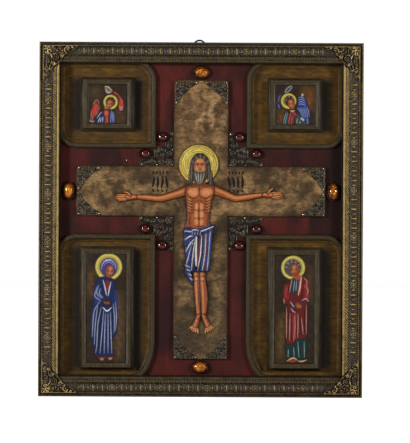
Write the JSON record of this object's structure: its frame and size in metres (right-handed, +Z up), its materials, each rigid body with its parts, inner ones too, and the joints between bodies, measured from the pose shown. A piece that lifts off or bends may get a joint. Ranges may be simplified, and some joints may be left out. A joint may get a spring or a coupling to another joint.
{
  "type": "religious icon",
  "caption": "Hanging icon panel: deep moulded frame, red cross-shaped ground, wooden cross with a cut-out enamelled figure, small framed plaques in rimmed trays, pierced corners and stones",
  "frame": {"origin": "middle of the flat back, on the backboard's rear face, where the panel lies against the wall", "axes": "+Z up the panel, +X to the viewer's right, +Y out of the back towards the wall; the picture side faces -Y"},
  "size_m": [0.34, 0.0358, 0.3782],
  "materials": {
    "frame_bronze": "pressed bronze-gilt moulding, dark in the hollows, rubbed on the high points",
    "board_wood": "plain sawn board, stained",
    "tray_gilt": "gold-brown gilt over wood, satin",
    "block_wood": "grey-bronze moulded wood, satin",
    "enamel": "painted enamel on metal, gloss",
    "red_paint": "dark red ground, matt and mottled",
    "cross_wood": "mottled tan painted wood",
    "gilt_brass": "pierced gilt brass, aged",
    "dark_metal": "pierced oxidised brass",
    "amber": "polished amber cabochon",
    "red_stone": "polished dark red cabochon",
    "ring_steel": "dark steel wire and sheet"
  },
  "bodies": {
    "root": {"frame_rail_top": "frame_bronze", "frame_rail_bottom": "frame_bronze", "frame_rail_left": "frame_bronze", "frame_rail_right": "frame_bronze", "backboard": "board_wood", "tray_upper_left": "tray_gilt", "tray_lower_left": "tray_gilt", "tray_upper_right": "tray_gilt", "tray_lower_right": "tray_gilt", "icon_block_upper_left": "block_wood", "icon_block_lower_left": "block_wood", "icon_block_upper_right": "block_wood", "icon_block_lower_right": "block_wood", "icon_plaque_upper_left": "enamel", "icon_plaque_lower_left": "enamel", "icon_plaque_upper_right": "enamel", "icon_plaque_lower_right": "enamel", "red_ground": "red_paint", "cross_board": "cross_wood", "frame_corner_upper_left": "gilt_brass", "frame_corner_lower_left": "gilt_brass", "frame_corner_upper_right": "gilt_brass", "frame_corner_lower_right": "gilt_brass", "cross_corner_beam_upper_left": "dark_metal", "cross_corner_beam_lower_left": "dark_metal", "cross_corner_beam_upper_right": "dark_metal", "cross_corner_beam_lower_right": "dark_metal", "cross_corner_upright_upper_left": "dark_metal", "cross_corner_upright_lower_left": "dark_metal", "cross_corner_upright_upper_right": "dark_metal", "cross_corner_upright_lower_right": "dark_metal", "crossing_bracket_upper_left": "dark_metal", "crossing_bracket_lower_left": "dark_metal", "crossing_bracket_upper_right": "dark_metal", "crossing_bracket_lower_right": "dark_metal", "amber_setting_top": "dark_metal", "amber_setting_bottom": "dark_metal", "amber_setting_left": "dark_metal", "amber_setting_right": "dark_metal", "amber_stone_top": "amber", "amber_stone_bottom": "amber", "amber_stone_left": "amber", "amber_stone_right": "amber", "red_stone_upper_left_beam": "red_stone", "red_stone_upper_left_upright": "red_stone", "red_stone_lower_left_beam": "red_stone", "red_stone_lower_left_upright": "red_stone", "red_stone_upper_right_beam": "red_stone", "red_stone_upper_right_upright": "red_stone", "red_stone_lower_right_beam": "red_stone", "red_stone_lower_right_upright": "red_stone", "crucified_figure": "enamel", "hanging_ring": "ring_steel", "hanger_plate": "ring_steel"}
  },
  "joints": []
}
